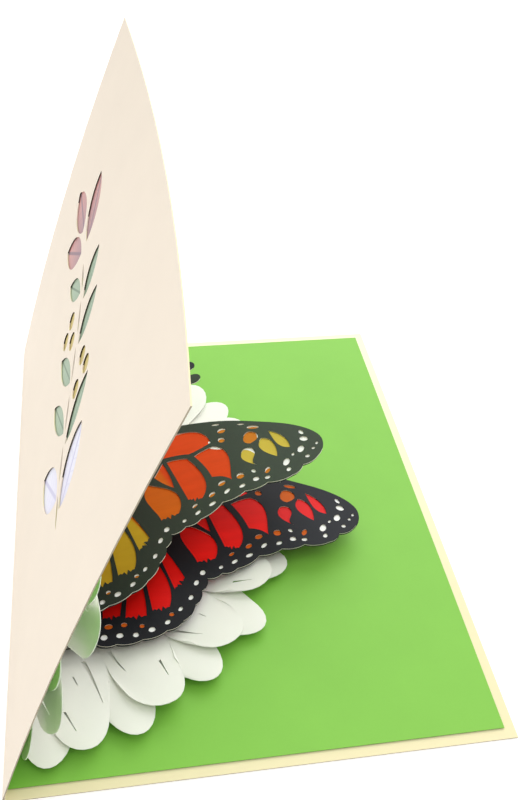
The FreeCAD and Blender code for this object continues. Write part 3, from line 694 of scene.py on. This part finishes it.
class Petal:
    """One petal: its way, its reach, its sideways turn at the tip, its lift and its near width."""

    def __init__(self, sheet_reach, angle, lift, extra_reach, shift, near_wide):
        self.sheet_reach = sheet_reach
        self.angle = angle
        self.lift = lift
        self.reach = sheet_reach + extra_reach
        self.shift = shift
        self.near_wide = near_wide

    def point(self, share, along):
        """Give q and p of a point: share is -1 to 1 across the petal, along 0 to 1."""
        sizes = daisy_sizes()
        half_step = sizes.petal_step / 2
        root = sizes.petal_root
        if along * self.sheet_reach <= root:
            turn = self.angle + share * half_step
            out = along * self.sheet_reach
            return out * math.sin(turn), -out * math.cos(turn)
        run = (along * self.sheet_reach - root) / (self.sheet_reach - root)
        cap = self.reach - root
        wide = self.near_wide if share < 0 else far_half_width * mm
        root_ahead = root * math.cos(share * half_step)
        root_aside = root * math.sin(share * half_step)
        roundness = math.sqrt(max(0.0, 1 - share * share))
        tip_ahead = root + cap * (shoulder + (1 - shoulder) * roundness)
        ahead = root_ahead + (tip_ahead - root_ahead) * run
        aside = root_aside + (share * wide - root_aside) * run
        aside += 0.5 * mm * share * math.sin(run * math.pi) + self.shift * run * run
        q = ahead * math.sin(self.angle) + aside * math.cos(self.angle)
        p = -ahead * math.cos(self.angle) + aside * math.sin(self.angle)
        return q, p

    def fold_share(self, along):
        """Give how far across the fold cuts the petal, or its own side where it doesn't."""
        side = -1.0 if self.angle < math.pi / 2 else 1.0
        if along == 0 or self.point(side, along)[0] >= 0:
            return side
        inner, outer = 0.0, side
        for _ in range(40):
            middle = (inner + outer) / 2
            if self.point(middle, along)[0] >= 0:
                inner = middle
            else:
                outer = middle
        return inner


def row_shares(petal, along, columns, slits, slit_width):
    """Give each column's share across the petal in one row, parted where a slit runs."""
    shares = [math.sin((2 * i / columns - 1) * math.pi / 2) for i in range(columns + 1)]
    pins = {0: -1.0, columns: 1.0}
    for (left, right), (low, high), (first, last) in slits:
        run = (along - low) / (high - low)
        reached = min(1.0, max(0.0, run))
        hold = max(0.0, 1.0 - abs(run - reached) * (high - low) / 0.07)
        middle = first + (last - first) * reached
        width = slit_width * min(1.0, (high - low) * 9) * (1 - reached) / (8.4 * mm)
        gap = max(width / 2, 0.010)
        pins[left] = shares[left] + (middle - gap - shares[left]) * hold
        pins[right] = shares[right] + (middle + gap - shares[right]) * hold
    kept = sorted(pins)
    placed = []
    for low, high in zip(kept, kept[1:]):
        for i in range(low, high):
            part = (shares[i] - shares[low]) / (shares[high] - shares[low])
            placed.append(pins[low] + (pins[high] - pins[low]) * part)
    placed.append(1.0)
    cut = petal.fold_share(along)
    if petal.angle < math.pi / 2:
        return [cut + (share + 1) / 2 * (1 - cut) for share in placed]
    return [-1 + (share + 1) / 2 * (1 + cut) for share in placed]


def petal_height(share, along, lifts, root_share):
    """Give how far a petal's point stands off the flat sheet: its lifts, own and both seams'."""
    if along < rise_start:
        return 0.0
    run = (along - rise_start) / (1 - rise_start)
    own, seam_before, seam_after = lifts
    seam = seam_before if share < 0 else seam_after
    free = max(0.0, (along - root_share) / (1 - root_share))
    lift = own + (seam - own) * share * share * (1 - free) ** 2
    rise = lift * run * run * (1.5 - 0.5 * run)
    cup = daisy_sizes().cup
    fall = cup * share * share * min(1.0, run * 1.6)
    return max(0.0, rise - fall + cup * run * 0.5)


def lay_grid(rows, columns, spot):
    """Add a flat grid and lay each of its points where spot puts its row and column."""
    bpy.ops.object.select_all(action="DESELECT")
    bpy.ops.mesh.primitive_grid_add(x_subdivisions=columns, y_subdivisions=rows, size=1.0)
    piece = bpy.context.object
    for vertex in piece.data.vertices:
        column = round((vertex.co.x + 0.5) * columns)
        row = round((vertex.co.y + 0.5) * rows)
        vertex.co = spot(row, column)
    return piece


def open_slits(petal, rows, columns, slits):
    """Delete the faces between the two columns of each slit."""
    select_only(petal)
    bpy.ops.object.mode_set(mode="EDIT")
    bpy.ops.mesh.select_mode(type="FACE")
    bpy.ops.mesh.select_all(action="DESELECT")
    bpy.ops.object.mode_set(mode="OBJECT")
    for face in petal.data.polygons:
        row, column = divmod(face.index, columns)
        middle = (rows[row] + rows[row + 1]) / 2
        face.select = any(column == left and low < middle < high
                          for (left, _), (low, high), _ in slits)
    bpy.ops.object.mode_set(mode="EDIT")
    bpy.ops.mesh.delete(type="FACE")
    bpy.ops.object.mode_set(mode="OBJECT")


def select_only(*pieces):
    """Deselect everything, then select these and make the first one active."""
    bpy.ops.object.select_all(action="DESELECT")
    for piece in pieces:
        piece.select_set(True)
    bpy.context.view_layer.objects.active = pieces[0]


def apply_all(piece):
    """Apply the piece's modifiers."""
    select_only(piece)
    for modifier in list(piece.modifiers):
        bpy.ops.object.modifier_apply(modifier=modifier.name)


def sheet_rows(reach):
    """Give the rows' shares of a petal's reach, with one just where two petals part."""
    root_share = daisy_sizes().petal_root / reach
    apart = [share for share in petal_rows if abs(share - root_share) > 0.012]
    return sorted(apart + [root_share])


def half_petals(reach, shapes, way, side, rise, slitted):
    """Make the petals on one half of a sheet, and a filler where they stop short of its fold."""
    sizes = daisy_sizes()
    count = len(shapes)
    columns = sizes.columns
    root_share = sizes.petal_root / reach
    rows = sheet_rows(reach)
    half_way = turned(way)
    inward = turned(way + side * math.pi / 2)
    half_opening = card_sizes().opening / 2
    base = fold_line(rise) + turned(half_opening) * (sizes.thickness / 2 / math.sin(half_opening))

    def place(q, p, height):
        shrink = min(1.0, q / (18 * mm))
        return base + half_way * q + Vector((0, p, 0)) + inward * (height * shrink)

    pieces = []
    for k in range(count):
        angle = math.pi / 2 + (k - (count - 1) / 2) * sizes.petal_step
        lift, extra_reach, shift, near_wide = shapes[k]
        petal = Petal(reach, angle, lift * mm, extra_reach * mm, shift * mm, near_wide * mm)
        before = shapes[max(0, k - 1)][0] * mm
        after = shapes[min(count - 1, k + 1)][0] * mm
        own = (petal.lift, (petal.lift + before) / 2, (petal.lift + after) / 2)
        slits = slit_sets[slit_order[k]] if slitted else ()
        across = [row_shares(petal, along, columns, slits, sizes.slit) for along in rows]

        def spot(row, column, petal=petal, own=own, across=across):
            share = across[row][column]
            q, p = petal.point(share, rows[row])
            return place(max(0.0, q), p, petal_height(share, rows[row], own, root_share))

        piece = lay_grid(len(rows) - 1, columns, spot)
        if slits:
            open_slits(piece, rows, columns, slits)
        pieces.append(piece)
    first = math.pi / 2 - count * sizes.petal_step / 2
    if first > 0.001:
        inner_rows = [along for along in rows if along <= root_share + 0.0001]
        for end, lift in ((-1, shapes[0][0]), (1, shapes[-1][0])):
            own = (lift * mm, lift * mm, lift * mm)

            def filler_spot(row, column, end=end, own=own):
                out = inner_rows[row] * reach
                height = petal_height(float(end), inner_rows[row], own, root_share)
                return place(out * math.sin(first) * column, end * out * math.cos(first), height)

            pieces.append(lay_grid(len(inner_rows) - 1, 1, filler_spot))
    return pieces


def daisy_sheet(name, node, rise, reach, page_shapes, cover_shapes, slitted):
    """Build one V-folded sheet of petals and let it stand for its node."""
    sizes = daisy_sizes()
    petals = half_petals(reach, page_shapes, 0.0, 1, rise, slitted)
    petals += half_petals(reach, cover_shapes, card_sizes().opening, -1, rise, slitted)
    select_only(*petals)
    bpy.ops.object.join()
    sheet = bpy.context.object
    sheet.name = name
    bpy.ops.object.mode_set(mode="EDIT")
    bpy.ops.mesh.select_mode(type="VERT")
    bpy.ops.mesh.select_all(action="SELECT")
    bpy.ops.mesh.remove_doubles(threshold=0.02 * mm)
    bpy.ops.mesh.dissolve_degenerate(threshold=0.01 * mm)
    bpy.ops.mesh.normals_make_consistent(inside=False)
    bpy.ops.object.mode_set(mode="OBJECT")
    body = sheet.modifiers.new("thickness", "SOLIDIFY")
    body.thickness = sizes.thickness
    body.offset = 0.0
    apply_all(sheet)
    select_only(sheet)
    bpy.ops.object.shade_smooth_by_angle(angle=math.radians(35))
    sheet.data.materials.clear()
    sheet.data.materials.append(bpy.data.materials["petal_paper"])
    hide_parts(node)
    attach(sheet, "root")
    return sheet


# Operators: one for each piece or group of pieces

class CARD_OT_dress_card(bpy.types.Operator):
    """Give the folded card, its lining and the print behind its windows their papers"""

    bl_idname = "popup.dress_card"
    bl_label = "Dress the card"

    def execute(self, context):
        put_on("card", cream_card())
        put_on("green_lining", green_paper())
        put_on("window_print", printed_sheet())
        return {"FINISHED"}


class CARD_OT_fold_daisy(bpy.types.Operator):
    """Build the daisy's two sheets with cupped petals and tapered slits"""

    bl_idname = "popup.fold_daisy"
    bl_label = "Fold the daisy"

    def execute(self, context):
        petal_paper()
        sizes = daisy_sizes()
        daisy_sheet("daisy_lower_petals", "daisy_lower_sheet", sizes.lower_rise, sizes.lower_reach,
                    lower_page_petals, lower_cover_petals, False)
        daisy_sheet("daisy_upper_petals", "daisy_upper_sheet", sizes.upper_rise, sizes.upper_reach,
                    upper_page_petals, upper_cover_petals, True)
        return {"FINISHED"}


class CARD_OT_paint_butterflies(bpy.types.Operator):
    """Give both butterflies their printed wings, black cut sheets and folded strips"""

    bl_idname = "popup.paint_butterflies"
    bl_label = "Paint the butterflies"

    def execute(self, context):
        for level in ("lower", "upper"):
            put_on(level + "_butterfly_coloured_sheet", wing_colours(level))
            put_on(level + "_butterfly_black_sheet", black_paper(level))
        paper = strip_paper()
        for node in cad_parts:
            if "_strip_" in node:
                put_on(node, paper)
        return {"FINISHED"}


# The photograph's camera: where it stands, where it looks and which way is right
camera_place = (-0.03717, -0.22705, 0.25470)
camera_look = (0.15293, 0.73832, -0.65688)
camera_right = (0.98619, -0.15673, 0.05344)

# The sky's strength goes from the first value before the card to the second behind it, between
# two heights of its direction's Y
sky_from_y, sky_to_y, sky_before, sky_behind = -0.9, 0.4, 0.12, 1.20


class CARD_OT_set_studio(bpy.types.Operator):
    """Set the pale floor, the soft lights and the camera"""

    bl_idname = "popup.set_studio"
    bl_label = "Set the studio"

    def execute(self, context):
        settings = context.scene.studio_settings
        bpy.ops.object.select_all(action="DESELECT")
        bpy.ops.mesh.primitive_plane_add(size=8.0, location=(0, 0, -0.0002))
        floor = context.object
        floor.name = "floor"
        paint = Paint("pale_floor", roughness=0.8, specular=0.1)
        paint.shader.inputs["Emission Color"].default_value = (1.0, 1.0, 1.0, 1.0)
        paint.shader.inputs["Emission Strength"].default_value = settings.glow
        floor.data.materials.append(paint.finish(paint.grain((0.93, 0.93, 0.935), 0.004)))
        self.add_sky(context, settings.sky)
        self.add_light("key_light", (0.42, 0.85, 0.82), (0.02, 0.0, 0.0), 1.2, settings.key)
        self.add_light("top_light", (0.22, -0.40, 1.10), (0.02, 0.0, 0.0), 0.9, settings.top)
        self.add_light("fill_light", (-0.90, -0.45, 0.50), (-0.05, 0.0, 0.06), 0.8, settings.fill)
        self.add_camera(context, settings.lens)
        context.scene.view_settings.view_transform = "Standard"
        return {"FINISHED"}

    def add_sky(self, context, strength):
        """Add the even light all round, stronger from behind the card than from before it."""
        world = bpy.data.worlds.new("studio_sky")
        world.use_nodes = True
        nodes = world.node_tree.nodes
        links = world.node_tree.links
        background = nodes["Background"]
        way = nodes.new("ShaderNodeTexCoord")
        parts = nodes.new("ShaderNodeSeparateXYZ")
        links.new(way.outputs["Generated"], parts.inputs["Vector"])
        slope = nodes.new("ShaderNodeMapRange")
        slope.interpolation_type = "SMOOTHSTEP"
        for socket, value in zip(list(slope.inputs)[1:5],
                                 (sky_from_y, sky_to_y, sky_before, sky_behind)):
            socket.default_value = value
        links.new(parts.outputs["Y"], slope.inputs["Value"])
        level = nodes.new("ShaderNodeMath")
        level.operation = "MULTIPLY"
        level.inputs[1].default_value = strength
        links.new(slope.outputs["Result"], level.inputs[0])
        links.new(level.outputs["Value"], background.inputs["Strength"])
        background.inputs["Color"].default_value = (1.0, 1.0, 1.0, 1.0)
        context.scene.world = world

    def add_light(self, name, place, aim, size, power):
        """Add a square area light that looks at a point."""
        bpy.ops.object.light_add(type="AREA", location=place)
        light = bpy.context.object
        light.name = name
        light.data.size = size
        light.data.energy = power
        way = Vector(aim) - Vector(place)
        light.rotation_euler = way.to_track_quat("-Z", "Y").to_euler()

    def add_camera(self, context, lens):
        """Add the camera at the photograph's place and viewing angle."""
        look = Vector(camera_look).normalized()
        right = Vector(camera_right).normalized()
        up = right.cross(look)
        bpy.ops.object.camera_add(location=(0, 0, 0))
        camera = context.object
        camera.name = "photo_camera"
        camera.data.lens = lens
        camera.data.sensor_width = 36.0
        camera.data.sensor_fit = "AUTO"
        camera.data.clip_start = 0.01
        camera.data.clip_end = 20.0
        turn = Matrix((right, up, -look)).transposed().to_4x4()
        camera.matrix_world = Matrix.Translation(camera_place) @ turn
        context.scene.camera = camera


class CARD_PT_panel(bpy.types.Panel):
    """Lists the steps that dress the card, and its sizes and colours"""

    bl_idname = "CARD_PT_panel"
    bl_label = "Pop-up card"
    bl_space_type = "VIEW_3D"
    bl_region_type = "UI"
    bl_category = "Pop-up card"

    def draw(self, context):
        for operator in operators:
            self.layout.operator(operator.bl_idname)
        for group in (context.scene.card_sizes, context.scene.daisy_sizes,
                      context.scene.paper_colours, context.scene.studio_settings):
            box = self.layout.box()
            for name in group.bl_rna.properties.keys():
                if name not in ("rna_type", "name"):
                    box.prop(group, name)


operators = (CARD_OT_dress_card, CARD_OT_fold_daisy, CARD_OT_paint_butterflies,
             CARD_OT_set_studio)
groups = (CardSizes, DaisySizes, PaperColours, StudioSettings)


def register():
    for group in groups:
        bpy.utils.register_class(group)
    for operator in operators:
        bpy.utils.register_class(operator)
    bpy.utils.register_class(CARD_PT_panel)
    bpy.types.Scene.card_sizes = PointerProperty(type=CardSizes)
    bpy.types.Scene.daisy_sizes = PointerProperty(type=DaisySizes)
    bpy.types.Scene.paper_colours = PointerProperty(type=PaperColours)
    bpy.types.Scene.studio_settings = PointerProperty(type=StudioSettings)


def unregister():
    for name in ("card_sizes", "daisy_sizes", "paper_colours", "studio_settings"):
        delattr(bpy.types.Scene, name)
    for cls in (CARD_PT_panel, *reversed(operators), *reversed(groups)):
        bpy.utils.unregister_class(cls)


def main():
    """Register the classes and run each step in order."""
    register()
    bpy.ops.popup.dress_card()
    bpy.ops.popup.fold_daisy()
    bpy.ops.popup.paint_butterflies()
    bpy.ops.popup.set_studio()


if __name__ == "__main__":
    main()
